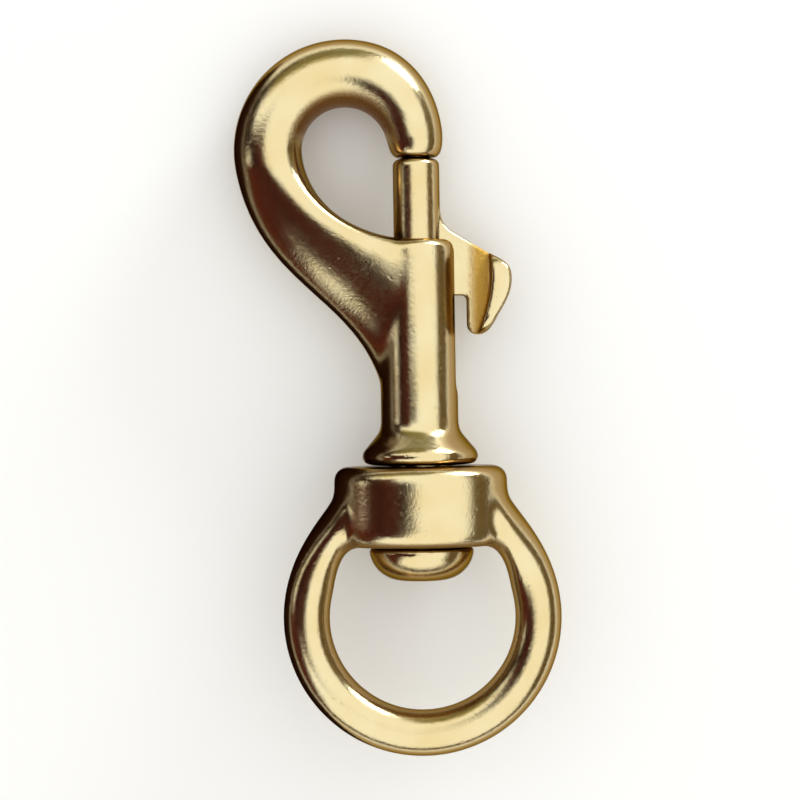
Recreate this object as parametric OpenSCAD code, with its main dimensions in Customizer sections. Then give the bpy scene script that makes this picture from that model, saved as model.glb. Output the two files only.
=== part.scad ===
// Swivel bolt snap: a cast hook closed by a spring bolt, turning on a round-eyed ring.
// Y is the swivel axis, XY is the plane of the hook, and the snap lies on its back with Z up.
// The origin is the centre of the ring's eye.

/* [Ring] */
// Inside diameter of the ring's eye
eye_d = 25; // [20:0.5:30]
// Thickness of the ring's rod
ring_t = 6.3; // [5.2:0.1:7.6]
// Width of the boss that carries the swivel
boss_w = 23.4; // [19.6:0.2:28]
// Depth of the boss from front to back
boss_depth = 18; // [15:0.5:21.6]
// Height of the boss along the swivel axis
boss_h = 10.8; // [9:0.1:13]
// How far the underside of the boss reaches into the eye
boss_drop = 2.9; // [2.4:0.1:3.5]
// Rounding of the upper rim of the boss
boss_round = 1.9; // [1.5:0.1:2.3]
// Depth of the shoulders where they run into the boss
shoulder_depth = 10.8; // [9:0.1:13]

/* [Swivel] */
// Diameter of the shank that the ring turns on
shank_d = 8; // [6.6:0.1:9.6]
// Radial clearance of the shank in the boss
shank_fit = 0.1; // [0.08:0.01:0.12]
// Gap left above and below the boss so that it turns freely
end_play = 0.15; // [0.1:0.05:0.2]
// Diameter of the headed-over end of the shank
head_d = 14.3; // [12:0.1:17.2]
// Height of the headed-over end
head_h = 4.5; // [3.8:0.1:5.4]

/* [Barrel] */
// Diameter of the flange that bears on the ring
flange_d = 15.8; // [13.2:0.2:19]
// Rounding of the flange's rim
flange_round = 1.15; // [0.95:0.05:1.4]
// Height of the flange and its neck below the plain barrel
neck_h = 5.5; // [4.6:0.1:6.6]
// Diameter of the barrel
barrel_d = 10.5; // [9.4:0.1:12.6]
// Rounding of the barrel's mouth
mouth_round = 1.3; // [1:0.1:1.5]
// Metal left between the underside of the flange and the bore
floor_t = 5; // [4.2:0.1:6]

/* [Hook] */
// Opening between the barrel's mouth and the nose, which is also the bolt's travel
gate = 11; // [9.2:0.1:13.2]
// Inside radius of the bow
throat_r = 5.8; // [4.9:0.1:7]
// Thickness of the bow in the plane of the hook
bow_t = 9.2; // [7.7:0.1:11]
// Depth of the bow from front to back
bow_depth = 9; // [7.5:0.1:10.4]
// Diameter of the nose
nose_d = 7.6; // [7:0.1:9.2]
// How far the nose narrows on each side at its end
nose_round = 1.2; // [1:0.05:1.4]
// Length over which the nose narrows
nose_taper = 3; // [2.5:0.1:3.6]

/* [Bolt] */
// Diameter of the bolt
bolt_d = 6.3; // [5.2:0.1:6.6]
// Radial clearance of the bolt in its bore
bolt_fit = 0.1; // [0.08:0.01:0.12]
// Length of the bolt that stays in the barrel when it is shut
bolt_hold = 8; // [6.7:0.1:9.6]
// Rounding of the bolt's shoulder
tip_round = 0.9; // [0.7:0.1:1.1]
// Diameter of the pilot that seats in the nose
pilot_d = 3.6; // [3:0.1:4.2]
// Height of the pilot
pilot_h = 0.8; // [0.6:0.1:1]
// Gap between the bolt and the nose
seat_gap = 0.15; // [0.1:0.05:0.2]

/* [Thumb piece] */
// Thickness of the web that runs in the barrel's slot
web_t = 2.4; // [2:0.1:2.9]
// Clearance of the web on each side of the slot
slot_fit = 0.15; // [0.1:0.05:0.2]
// Height of the web where it leaves the barrel
web_h = 8.5; // [7:0.1:10]
// Reach of the thumb piece from the swivel axis
thumb_reach = 12.6; // [11:0.1:15]
// How far the thumb piece hangs below its web
lug_drop = 5.3; // [4.5:0.1:6.3]
// Gap between the barrel and the hanging lug
lug_gap = 1.3; // [1:0.1:1.6]
// Thickness of the thumb pad
pad_t = 3; // [2.5:0.1:3.6]
// Depth of the thumb pad from front to back
pad_depth = 8.4; // [7:0.1:10]

/* [Spring] */
// Diameter of the spring's wire
wire_d = 0.7; // [0.55:0.05:0.85]
// Radial clearance of the spring in the bore
spring_fit = 0.55; // [0.45:0.05:0.65]
// Number of turns, with one closed turn at each end
turns = 8; // [6:1:10]
// Length left in the spring when the bolt is fully drawn
spring_spare = 0.75; // [0.6:0.05:0.9]

/* [Hidden] */
$fn = 64;
brass = "#C79A45";
cast_brass = "#B8863A";
spring_steel = "#A7A9AA";

// Facets of the swept shapes
rod_sides = 28;
boss_sides = 48;
wire_sides = 8;
wire_steps = 14;
curve_steps = 8;
bow_steps = 26;
root_steps = 18;
eye_steps = 36;
shoulder_steps = 12;
cut_over = 1;

// Radii
eye_r = eye_d / 2;
ring_r = eye_r + ring_t;
shank_r = shank_d / 2;
head_r = head_d / 2;
flange_r = flange_d / 2;
barrel_r = barrel_d / 2;
bolt_r = bolt_d / 2;
nose_r = nose_d / 2;
pilot_r = pilot_d / 2;
bore_r = bolt_r + bolt_fit;

// Heights along the swivel axis
boss_base = eye_r - boss_drop;
boss_top = boss_base + boss_h;
head_top = boss_base - end_play;
head_base = head_top - head_h;
flange_base = boss_top + end_play;
neck_top = flange_base + neck_h;
bore_floor = flange_base + floor_t;
spring_l = turns * wire_d + spring_spare + gate;
bolt_base = bore_floor + spring_l;
mouth = bolt_base + bolt_hold;
nose_end = mouth + gate;
bolt_top = nose_end - seat_gap;

// Boss and shoulders of the ring
boss_under_round = 1.8;
shoulder_angle = 12.7;
shoulder_outer_pull = 7.5;
shoulder_inner_pull = 3.6;
shoulder_sink = 0.8;
shoulder_drop = 2.2;
waist_drop = 5.4;
eye_corner_in = 1;
eye_seat_in = 5.4;
eye_seat_up = 1;
shoulder_waist = [boss_w / 2, boss_top - waist_drop];
shoulder_end = [boss_w / 2 - shoulder_sink, boss_top - shoulder_drop];
eye_corner = [eye_r - eye_corner_in, boss_base];
eye_seat = [boss_w / 2 - eye_seat_in, boss_base + eye_seat_up];

// Neck between the flange and the barrel
neck_slope = 41;
neck_round = 2.2;

// Bow, nose and root of the hook
nose_run = 1.2;
bow_centre = [-throat_r - nose_r, nose_end + nose_run];
bow_sweep = 190;
bow_full = 72;
throat_pull = 8;
saddle_pull = 6.5;
back_pull = 18;
root_pull = 17.5;
root_lean = 0.9;
root_fan = 1.6;
root_inset = 0.45;
bow_skew = 1.25;
root_skew = 1.9;
root_end = [-barrel_r + root_lean, neck_top];

// Slot and thumb piece, whose outline is measured from the lower edge of its web
web_rise = 0.4;
web_base = bolt_base + web_rise;
slot_w = web_t + 2 * slot_fit;
slot_base = web_base - gate - slot_fit;
web_corner = 0.7;
web_blend = 1.7;
web_fillet = 3.4;
web_slope = 31;
lug_x = barrel_r + lug_gap;
lug_round = 1.4;
crown_in = 1.4;
brow_drop = 2.4;
heel_in = 2.3;
heel_up = 1.8;
heel_turn = 62;
toe_turn = 70;
brim_turn = 97;
pad_round = 2.4;
pad_brim = 1;
turn_pull = 0.4;
pilot_draft = 0.15;
shoulder_turn = 80;
closed_gap = 0.035;

function polar(c, r, a) = c + r * [cos(a), sin(a)];
function heading(a) = [-sin(a), cos(a)];
function mix(a, b, t) = a + (b - a) * t;
function ease(t) = t * t * (3 - 2 * t);
function flip(p) = [-p.x, p.y];
function arc(c, r, a, b) =
    [for (i = [0:curve_steps]) polar(c, r, mix(a, b, i / curve_steps))];
function bezier(p, t) =
    pow(1 - t, 3) * p[0] + 3 * t * pow(1 - t, 2) * p[1] + 3 * t * t * (1 - t) * p[2] + pow(t, 3) * p[3];
// Curve that leaves p at angle a and reaches q at angle b
function turn(p, a, q, b) =
    let (pull = norm(q - p) * turn_pull, c = [p, polar(p, pull, a), polar(q, -pull, b), q])
    [for (i = [0:curve_steps]) bezier(c, i / curve_steps)];

// A station is [inner point, outer point, half depth, skew], and its section is an oval on that chord.
// A skew of 1 gives an ellipse, and a larger one moves the crown towards the inner point.
function section(s, sides) =
    [for (k = [0:sides - 1])
        let (a = 360 * k / sides, p = mix(s[0], s[1], pow((1 - cos(a)) / 2, s[3])))
        [p.x, p.y, s[2] * sin(a)]];

// Closed skin over rings of equal length, with flat ends
function skin_faces(rings, sides) = concat(
    [[for (k = [0:sides - 1]) k]],
    [for (j = [0:rings - 2], k = [0:sides - 1])
        let (n = (k + 1) % sides)
        [j * sides + k, (j + 1) * sides + k, (j + 1) * sides + n]],
    [for (j = [0:rings - 2], k = [0:sides - 1])
        let (n = (k + 1) % sides)
        [j * sides + k, (j + 1) * sides + n, j * sides + n]],
    [[for (k = [sides - 1:-1:0]) (rings - 1) * sides + k]]);

// How far the nose is narrowed at a distance from its end
function nose_narrow(s) =
    let (t = max(1 - s / nose_taper, 0)) nose_round * (1 - sqrt(1 - t * t));
function nose_station(t) =
    let (s = nose_run * t * t, half = nose_r - nose_narrow(s), y = nose_end + s)
    [[-half, y], [half, y], half, 1];

// Bow at an angle round its centre, which swells from the nose to its full thickness
function bow_part(a) = ease(min(a / bow_full, 1));
function bow_lean(a) = mix(1, bow_skew, ease(max(a - bow_full, 0) / (bow_sweep - bow_full)));
function bow_station(a) =
    let (t = mix(nose_d, bow_t, bow_part(a)),
         n = nose_narrow(nose_run + (throat_r + nose_r) * a * PI / 180))
    [polar(bow_centre, throat_r + n, a),
     polar(bow_centre, throat_r + t - n, a),
     mix(nose_d, bow_depth, bow_part(a)) / 2 - n,
     bow_lean(a)];
function saddle(t) =
    let (from = bow_station(bow_sweep)[0], to = [0, mouth])
    bezier([from, from + throat_pull * heading(bow_sweep), to - [saddle_pull, 0], to], t);
function back(t) =
    let (from = bow_station(bow_sweep)[1])
    bezier([from, from + back_pull * heading(bow_sweep), root_end + [-root_lean, root_pull], root_end], t);
function root_station(t) =
    [saddle(t), back(pow(t, root_fan)), mix(bow_depth / 2, barrel_r - root_inset, ease(t)),
     mix(bow_skew, root_skew, ease(t))];

hook_stations = concat(
    [for (i = [0:curve_steps - 1]) nose_station(i / curve_steps)],
    [for (i = [0:bow_steps]) bow_station(bow_sweep * i / bow_steps)],
    [for (i = [1:root_steps]) root_station(i / root_steps)]);

function eye_station(a) = [polar([0, 0], eye_r, a), polar([0, 0], ring_r, a), ring_t / 2, 1];
function shoulder_station(t) =
    let (from = eye_station(shoulder_angle), up = heading(shoulder_angle))
    [bezier([from[0], from[0] + shoulder_inner_pull * up, eye_corner, eye_seat], t),
     bezier([from[1], from[1] + shoulder_outer_pull * up, shoulder_waist, shoulder_end], t),
     mix(ring_t, shoulder_depth, ease(t)) / 2,
     1];
function flip_station(s) = [flip(s[0]), flip(s[1]), s[2], s[3]];

ring_stations = concat(
    [for (i = [shoulder_steps:-1:1]) flip_station(shoulder_station(i / shoulder_steps))],
    [for (i = [0:eye_steps]) eye_station(mix(-180 - shoulder_angle, shoulder_angle, i / eye_steps))],
    [for (i = [1:shoulder_steps]) shoulder_station(i / shoulder_steps)]);

// Profile of the head, shank, flange, neck and barrel, as [radius, height]
stem_profile = concat(
    [[0, head_base]],
    arc([head_r - head_h, head_top], head_h, -90, 0),
    [[shank_r, head_top], [shank_r, flange_base]],
    arc([flange_r - flange_round, flange_base + flange_round], flange_round, -90, neck_slope),
    arc([barrel_r + neck_round, neck_top], neck_round, 180 + neck_slope, 180),
    arc([barrel_r - mouth_round, mouth - mouth_round], mouth_round, 0, 90),
    [[0, mouth]]);

// Side of the boss as [half width, height], and the oval sections that it gives
boss_profile = concat(
    arc([boss_w / 2 - boss_under_round, boss_base + boss_under_round], boss_under_round, -90, 0),
    arc([boss_w / 2 - boss_round, boss_top - boss_round], boss_round, 0, 90));
boss_stations = [for (p = boss_profile) [flip(p), p, p.x - (boss_w - boss_depth) / 2, 1]];

// Profile of the bolt, with its rounded shoulder and its pilot
bolt_profile = concat(
    [[0, bolt_base], [bolt_r - bolt_fit, bolt_base], [bolt_r, bolt_base + bolt_fit]],
    arc([bolt_r - tip_round, bolt_top - tip_round], tip_round, 0, shoulder_turn),
    [[pilot_r, bolt_top], [pilot_r - pilot_draft, bolt_top + pilot_h], [0, bolt_top + pilot_h]]);

// Outline of the thumb piece: toe and heel below, brow outside, crown and brim above
blend = [bolt_r + web_blend, web_h];
function web_line(x) = [x, web_h - (x - blend.x) * tan(web_slope)];
crown = web_line(thumb_reach - crown_in);
brim = web_line(thumb_reach - pad_t);
brow = [thumb_reach, crown.y - brow_drop];
heel = [thumb_reach - heel_in, heel_up - lug_drop];
toe = [lug_x + lug_round, -lug_drop];
pad_edge = concat(
    turn(toe, 0, heel, heel_turn),
    turn(heel, heel_turn, brow, 90),
    turn(brow, 90, crown, 180 - web_slope));
pad_outline = concat(pad_edge, turn(brim, brim_turn + 180, toe, toe_turn + 180));
thumb_outline = concat(
    [[0, 0]],
    turn([lug_x - web_corner, 0], 0, [lug_x, -web_corner], -90),
    turn([lug_x, lug_round - lug_drop], -90, toe, 0),
    pad_edge,
    turn(blend, 180 - web_slope, [bolt_r, web_h + web_fillet], 90),
    [[0, web_h + web_fillet]]);

// Helix of the spring, with closed turns at both ends
coil_r = bore_r - spring_fit - wire_d / 2;
open_turns = turns - 2;
closed_pitch = wire_d + closed_gap;
open_pitch = (spring_l - wire_d - 2 * closed_pitch) / open_turns;
function coil_rise(n) =
    wire_d / 2 + closed_pitch * (min(n, 1) + max(n - 1 - open_turns, 0))
    + open_pitch * min(max(n - 1, 0), open_turns);
function coil_ring(n) =
    let (out = [cos(360 * n), 0, sin(360 * n)], up = [0, 1, 0])
    [for (k = [0:wire_sides - 1])
        let (w = polar([coil_r, bore_floor + coil_rise(n)], wire_d / 2, 360 * k / wire_sides))
        w.x * out + w.y * up];

// Stands a shape drawn along Z onto the swivel axis
module on_axis() rotate([-90, 0, 0]) children();

// Rod that follows its stations
module swept_rod(stations, sides) {
    polyhedron(
        points = [for (s = stations, p = section(s, sides)) p],
        faces = skin_faces(len(stations), sides),
        convexity = 6);
}

// Blind bore for the bolt, with the slot for the web and the seat in the nose
module bolt_way() {
    on_axis() translate([0, 0, bore_floor]) cylinder(r = bore_r, h = mouth - bore_floor + cut_over);
    translate([0, slot_base, -slot_w / 2]) cube([barrel_r + cut_over, mouth - slot_base + cut_over, slot_w]);
    translate([0, slot_base, 0]) rotate([0, 90, 0]) cylinder(d = slot_w, h = barrel_r + cut_over);
    on_axis() translate([0, 0, nose_end - cut_over])
        cylinder(r = pilot_r + seat_gap, h = cut_over + pilot_h + seat_gap);
}

// Hook, barrel, flange, shank and headed end, cast as one
module hook_body() {
    color(brass) difference() {
        union() {
            on_axis() rotate_extrude() polygon(stem_profile);
            swept_rod(hook_stations, rod_sides);
        }
        bolt_way();
    }
}

// Plate of the thumb piece, drawn from the lower edge of its web
module thumb_plate(outline, depth) {
    translate([0, web_base, -depth / 2]) linear_extrude(depth) polygon(outline);
}

// Rounded face of the thumb pad, seen along X
module pad_face() {
    top = web_base + crown.y + pad_brim;
    base = web_base - lug_drop;
    half = pad_depth / 2 - pad_round;
    rotate([90, 0, 90]) linear_extrude(thumb_reach + cut_over)
        hull() for (y = [base + pad_round, top - pad_round], z = [-half, half])
            translate([y, z]) circle(pad_round, $fn = 32);
}

// Sliding bolt with its web and thumb pad, cast as one
module latch_bolt() {
    color(cast_brass) union() {
        on_axis() rotate_extrude() polygon(bolt_profile);
        thumb_plate(thumb_outline, web_t);
        intersection() {
            thumb_plate(pad_outline, pad_depth);
            pad_face();
        }
    }
}

// Compression spring that closes the bolt
module bolt_spring() {
    steps = turns * wire_steps;
    color(spring_steel) polyhedron(
        points = [for (i = [0:steps], p = coil_ring(i / wire_steps)) p],
        faces = skin_faces(steps + 1, wire_sides),
        convexity = 10);
}

// Ring with its boss, which turns on the shank
module swivel_ring() {
    color(brass) difference() {
        union() {
            swept_rod(boss_stations, boss_sides);
            swept_rod(ring_stations, rod_sides);
        }
        on_axis() translate([0, 0, boss_base - cut_over])
            cylinder(r = shank_r + shank_fit, h = boss_h + 2 * cut_over);
    }
}

hook_body();
latch_bolt();
bolt_spring();
swivel_ring();
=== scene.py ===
"""Swivel bolt snap in polished cast brass, lying on a pale studio floor under a camera that looks down on it."""

import logging
import math
from dataclasses import dataclass
from enum import Enum
from itertools import pairwise
from typing import Any

import bmesh
import bpy
import numpy as np
from mathutils import Euler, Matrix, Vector


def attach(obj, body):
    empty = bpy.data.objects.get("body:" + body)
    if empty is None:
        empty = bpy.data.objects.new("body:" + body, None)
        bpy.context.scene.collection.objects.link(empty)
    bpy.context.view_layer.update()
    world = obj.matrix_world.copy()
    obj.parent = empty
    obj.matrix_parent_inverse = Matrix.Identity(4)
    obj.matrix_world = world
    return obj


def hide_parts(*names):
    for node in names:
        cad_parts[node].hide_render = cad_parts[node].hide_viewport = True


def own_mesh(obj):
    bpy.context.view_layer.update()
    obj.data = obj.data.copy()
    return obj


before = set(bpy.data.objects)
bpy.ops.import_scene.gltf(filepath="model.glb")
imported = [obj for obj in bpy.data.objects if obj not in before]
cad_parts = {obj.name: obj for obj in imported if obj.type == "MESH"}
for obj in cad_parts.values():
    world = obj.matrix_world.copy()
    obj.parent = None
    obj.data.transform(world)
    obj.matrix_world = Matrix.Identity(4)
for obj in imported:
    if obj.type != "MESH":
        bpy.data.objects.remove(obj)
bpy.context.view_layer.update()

LOG = logging.getLogger("snap")
METRES = 0.001
PER_METRE = 1000
WHITE = "#FFFFFF"
# Painted side shade on the brass: its greatest share, and the slant over which it fades out towards faces that look
# up or down.
SIDE_SHADE_MOST = 0.95
SIDE_SHADE_LEAN = (0.60, 0.80)
Point = tuple[float, float]
Span = tuple[float, float]
Place = tuple[float, float, float]


class Body(Enum):
    """The bodies that pieces ride on."""

    HOOK = "hook"
    BOLT = "bolt"
    RING = "ring"


class Slot(Enum):
    """Material slots of the part's record."""

    POLISHED = "polished_brass"
    CAST = "cast_brass"
    WIRE = "spring_steel"


class Join(Enum):
    """How one solid is worked into another."""

    ADD = "UNION"
    CUT = "DIFFERENCE"
    KEEP = "INTERSECT"


def mix(a: Any, b: Any, t: float) -> Any:
    """Value a part t of the way from a to b."""
    return a + (b - a) * t


def ease(t: float) -> float:
    """Smooth start and stop between 0 and 1."""
    return t * t * (3 - 2 * t)


def polar(centre: Vector, radius: float, degrees: float) -> Vector:
    """Point at an angle and a distance from a centre."""
    a = math.radians(degrees)
    return centre + radius * Vector((math.cos(a), math.sin(a)))


def heading(degrees: float) -> Vector:
    """Direction a quarter turn on from an angle."""
    a = math.radians(degrees)
    return Vector((-math.sin(a), math.cos(a)))


def bezier(p: list[Vector], t: float) -> Vector:
    """Point on a cubic curve.

    Args:
        p: The four control points.
        t: Place on the curve, from 0 to 1.

    Returns:
        The point.
    """
    s = 1 - t
    return s**3 * p[0] + 3 * t * s**2 * p[1] + 3 * t**2 * s * p[2] + t**3 * p[3]


def arc(centre: Point, radius: float, start: float, end: float, steps: int = 10) -> list[Vector]:
    """Points on an arc, angles in degrees."""
    return [polar(Vector(centre), radius, mix(start, end, i / steps)) for i in range(steps + 1)]


def turn(p: Point, a: float, q: Point, b: float, pull: float = 0.4, steps: int = 10) -> list[Vector]:
    """Curve that leaves one point at an angle and reaches another at an angle.

    Args:
        p: First point.
        a: Angle at the first point, in degrees.
        q: Last point.
        b: Angle at the last point, in degrees.
        pull: Handle length as a share of the distance.
        steps: Number of pieces.

    Returns:
        The points, both ends included.
    """
    start, end = Vector(p), Vector(q)
    reach = (end - start).length * pull
    handles = [start, polar(start, reach, a), polar(end, -reach, b), end]
    return [bezier(handles, i / steps) for i in range(steps + 1)]


def linear(code: str) -> tuple[float, float, float, float]:
    """Turns an sRGB hex value to linear colour.

    Args:
        code: The hex value, such as #FAFAF9.

    Returns:
        Red, green, blue and full opacity.
    """
    parts = [int(code[i:i + 2], 16) / 255 for i in (1, 3, 5)]
    r, g, b = [c / 12.92 if c <= 0.04045 else ((c + 0.055) / 1.055) ** 2.4 for c in parts]
    return r, g, b, 1.0


def add(tree: bpy.types.NodeTree, kind: str, links: dict | None = None, **settings: Any) -> bpy.types.Node:
    """Adds a node.

    Args:
        tree: Node tree that gets it.
        kind: Blender's name of the node.
        links: For each input, a socket to link or a value to set.
        settings: The node's own settings.

    Returns:
        The node.
    """
    node = tree.nodes.new(kind)
    for key, value in settings.items():
        setattr(node, key, value)
    for key, value in (links or {}).items():
        if isinstance(value, bpy.types.NodeSocket):
            tree.links.new(value, node.inputs[key])
        else:
            node.inputs[key].default_value = value
    return node


def bare(name: str) -> tuple[bpy.types.Material, bpy.types.NodeTree]:
    """Starts a material.

    Args:
        name: Name of the material.

    Returns:
        The material and its empty node tree.
    """
    mat = bpy.data.materials.new(name)
    mat.use_nodes = True
    mat.node_tree.nodes.clear()
    return mat, mat.node_tree


@dataclass(frozen=True)
class Station:
    """Oval section of a rod, on the chord between an inner and an outer point.

    A skew of 1 gives an ellipse, and a larger one moves the crown towards the inner point.
    """

    inner: Vector
    outer: Vector
    half_depth: float
    skew: float = 1.0

    def at(self, angle: float) -> Vector:
        """Point of the section at an angle in radians, counted from the inner point."""
        p = mix(self.inner, self.outer, max((1 - math.cos(angle)) / 2, 0) ** self.skew)
        return Vector((p.x, p.y, self.half_depth * math.sin(angle)))


@dataclass(frozen=True)
class SkinPlan:
    """How a casting gets its skin: sizes of the skin's faces in millimetres, and smoothing rounds.

    A casting that is bored after its fillets gets a second skin, which eases the edges of the cuts.
    """

    grain: float
    even: int
    fillet_rounds: int
    fillet_spread: int
    last_grain: float = 0.0
    last_even: int = 0


class Bench:
    """Modelling moves, as they are made by hand. All of them work in millimetres."""

    MERGE = 1e-5
    SHORTEST = 1e-4
    CUTTER_SIDES = 96
    BEVEL_SEGMENTS = 5
    PLATE_EDGE = math.radians(60)
    SHARP_EDGE = math.radians(50)
    # A point is filled once its depth below its neighbours, in faces and times the gain, passes the start.
    HOLLOW_GAIN = 18
    HOLLOW_START = 0.22
    FILLET_LIFT = 1.5
    LEAST_WEIGHT = 0.01
    SMOOTH_STEP = 0.5

    @staticmethod
    def settle(name: str) -> bpy.types.Object:
        """Names the primitive just added and applies its place and size.

        Args:
            name: Name of the new object.

        Returns:
            The object.
        """
        obj = bpy.context.object
        obj.name = obj.data.name = name
        bpy.ops.object.transform_apply(location=True, rotation=True, scale=True)
        return obj

    @staticmethod
    def pick(obj: bpy.types.Object) -> None:
        """Selects one object alone and makes it the active one."""
        bpy.ops.object.select_all(action="DESELECT")
        obj.select_set(True)
        bpy.context.view_layer.objects.active = obj

    @staticmethod
    def start(name: str) -> bpy.types.Object:
        """Settles the primitive just added and opens it for editing, with all of it selected.

        Args:
            name: Name of the new object.

        Returns:
            The object, in edit mode.
        """
        obj = Bench.settle(name)
        bpy.ops.object.mode_set(mode="EDIT")
        bpy.ops.mesh.select_mode(type="VERT")
        bpy.ops.mesh.select_all(action="SELECT")
        return obj

    @staticmethod
    def close(obj: bpy.types.Object) -> bpy.types.Object:
        """Merges doubles, fills open ends, turns faces outwards and leaves edit mode.

        Args:
            obj: The object in edit mode.

        Returns:
            The same object, closed.
        """
        bpy.ops.mesh.select_all(action="SELECT")
        bpy.ops.mesh.remove_doubles(threshold=Bench.MERGE)
        bpy.ops.mesh.fill_holes(sides=0)
        bpy.ops.mesh.select_all(action="SELECT")
        bpy.ops.mesh.normals_make_consistent(inside=False)
        bpy.ops.object.mode_set(mode="OBJECT")
        bpy.ops.object.select_all(action="DESELECT")
        return obj

    @staticmethod
    def set_ring(obj: bpy.types.Object, station: Station) -> None:
        """Brings the selected ring of vertices to a station.

        Args:
            obj: The rod in edit mode.
            station: Section that the ring takes.
        """
        mesh = bmesh.from_edit_mesh(obj.data)
        angle = mesh.verts.layers.float["angle"]
        for vert in mesh.verts:
            if vert.select:
                vert.co = station.at(vert[angle])
        bmesh.update_edit_mesh(obj.data)

    @classmethod
    def sweep(cls, name: str, stations: list[Station], sides: int) -> bpy.types.Object:
        """Rod drawn out from a ring, station by station.

        Args:
            name: Name of the rod.
            stations: Its sections, in order.
            sides: Number of sides.

        Returns:
            The closed rod.
        """
        bpy.ops.object.select_all(action="DESELECT")
        bpy.ops.mesh.primitive_circle_add(vertices=sides, radius=1)
        obj = cls.start(name)
        mesh = bmesh.from_edit_mesh(obj.data)
        angle = mesh.verts.layers.float.new("angle")
        for vert in mesh.verts:
            vert[angle] = math.atan2(vert.co.y, vert.co.x)
        cls.set_ring(obj, stations[0])
        for station in stations[1:]:
            bpy.ops.mesh.extrude_region_move()
            cls.set_ring(obj, station)
        return cls.close(obj)

    @classmethod
    def chain(cls, name: str, points: list[Vector]) -> bpy.types.Object:
        """Draws a line of points in the XY plane and stays in edit mode, with all of it selected.

        Args:
            name: Name of the line.
            points: Its points, in order.

        Returns:
            The object, in edit mode.
        """
        bpy.ops.object.select_all(action="DESELECT")
        bpy.ops.mesh.primitive_plane_add(size=1)
        obj = cls.start(name)
        bpy.ops.mesh.merge(type="CENTER")
        bpy.ops.transform.translate(value=points[0].to_3d())
        for old, new in pairwise(points):
            step = new - old
            if step.length > cls.SHORTEST:
                bpy.ops.mesh.extrude_vertices_move(TRANSFORM_OT_translate={"value": step.to_3d()})
        bpy.ops.mesh.select_all(action="SELECT")
        return obj

    @classmethod
    def turned(cls, name: str, profile: list[Vector], steps: int) -> bpy.types.Object:
        """Solid turned about the Y axis.

        Args:
            name: Name of the solid.
            profile: Radius and height of each point, from end to end.
            steps: Number of sides.

        Returns:
            The closed solid.
        """
        obj = cls.chain(name, profile)
        bpy.ops.mesh.spin(steps=steps, angle=2 * math.pi, center=(0, 0, 0), axis=(0, 1, 0))
        return cls.close(obj)

    @classmethod
    def plate(cls, name: str, outline: list[Vector], depth: float, round_off: float) -> bpy.types.Object:
        """Plate cut to an outline, centred on the XY plane.

        Args:
            name: Name of the plate.
            outline: Its edge, in order.
            depth: Thickness along Z.
            round_off: Rounding of both faces' edges.

        Returns:
            The closed plate.
        """
        obj = cls.chain(name, outline)
        bpy.ops.mesh.edge_face_add()
        bpy.ops.transform.translate(value=(0, 0, -depth / 2))
        bpy.ops.mesh.extrude_region_move(TRANSFORM_OT_translate={"value": (0, 0, depth)})
        cls.close(obj)
        if round_off > 0:
            cls.bevel(obj, round_off)
        return obj

    @staticmethod
    def apply(obj: bpy.types.Object, kind: str, **settings: Any) -> None:
        """Adds a modifier with its settings and applies it.

        Args:
            obj: The object.
            kind: Blender's name of the modifier.
            settings: The modifier's own settings.
        """
        mod = obj.modifiers.new(kind.lower(), kind)
        for key, value in settings.items():
            setattr(mod, key, value)
        with bpy.context.temp_override(object=obj, active_object=obj, selected_objects=[obj]):
            bpy.ops.object.modifier_apply(modifier=mod.name)

    @classmethod
    def bevel(cls, obj: bpy.types.Object, width: float) -> None:
        """Rounds the sharp edges of a plate."""
        cls.apply(obj, "BEVEL", width=width, segments=cls.BEVEL_SEGMENTS, limit_method="ANGLE",
                  angle_limit=cls.PLATE_EDGE)

    @classmethod
    def join(cls, obj: bpy.types.Object, tool: bpy.types.Object, how: Join) -> None:
        """Works one solid into another and removes the tool."""
        cls.apply(obj, "BOOLEAN", object=tool, operation=how.value, solver="EXACT")
        bpy.data.objects.remove(tool)

    @staticmethod
    def rod(name: str, radius: float, start: float, end: float) -> bpy.types.Object:
        """Plain round cutter along the Y axis.

        Args:
            name: Name of the cutter.
            radius: Its radius.
            start: Height of its lower end.
            end: Height of its upper end.

        Returns:
            The cutter.
        """
        bpy.ops.object.select_all(action="DESELECT")
        bpy.ops.mesh.primitive_cylinder_add(
            vertices=Bench.CUTTER_SIDES, radius=radius, depth=end - start,
            location=(0, (start + end) / 2, 0), rotation=(math.pi / 2, 0, 0))
        return Bench.settle(name)

    @staticmethod
    def block(name: str, low: Place, high: Place) -> bpy.types.Object:
        """Plain square cutter between two corners.

        Args:
            name: Name of the cutter.
            low: Its lowest corner.
            high: Its highest corner.

        Returns:
            The cutter.
        """
        bpy.ops.object.select_all(action="DESELECT")
        bpy.ops.mesh.primitive_cube_add(
            size=1, location=[(a + b) / 2 for a, b in zip(low, high)],
            scale=[b - a for a, b in zip(low, high)])
        return Bench.settle(name)

    @staticmethod
    def points(obj: bpy.types.Object) -> tuple[np.ndarray, np.ndarray]:
        """Reads a mesh's vertices.

        Args:
            obj: The object.

        Returns:
            Their places and their normals, one row each.
        """
        count = len(obj.data.vertices)
        place, normal = np.empty(count * 3), np.empty(count * 3)
        obj.data.vertices.foreach_get("co", place)
        obj.data.vertices.foreach_get("normal", normal)
        return place.reshape(-1, 3), normal.reshape(-1, 3)

    @staticmethod
    def mean(obj: bpy.types.Object, values: np.ndarray) -> np.ndarray:
        """Mean of a value over each vertex's neighbours.

        Args:
            obj: The object.
            values: One value or one row for each vertex.

        Returns:
            The means, in the same shape.
        """
        ends = np.empty(len(obj.data.edges) * 2, np.int64)
        obj.data.edges.foreach_get("vertices", ends)
        a, b = ends.reshape(-1, 2).T
        total, count = np.zeros_like(values), np.zeros(len(values))
        np.add.at(total, a, values[b])
        np.add.at(total, b, values[a])
        np.add.at(count, ends, 1)
        return total / (count[:, None] if values.ndim == 2 else count)

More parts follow.
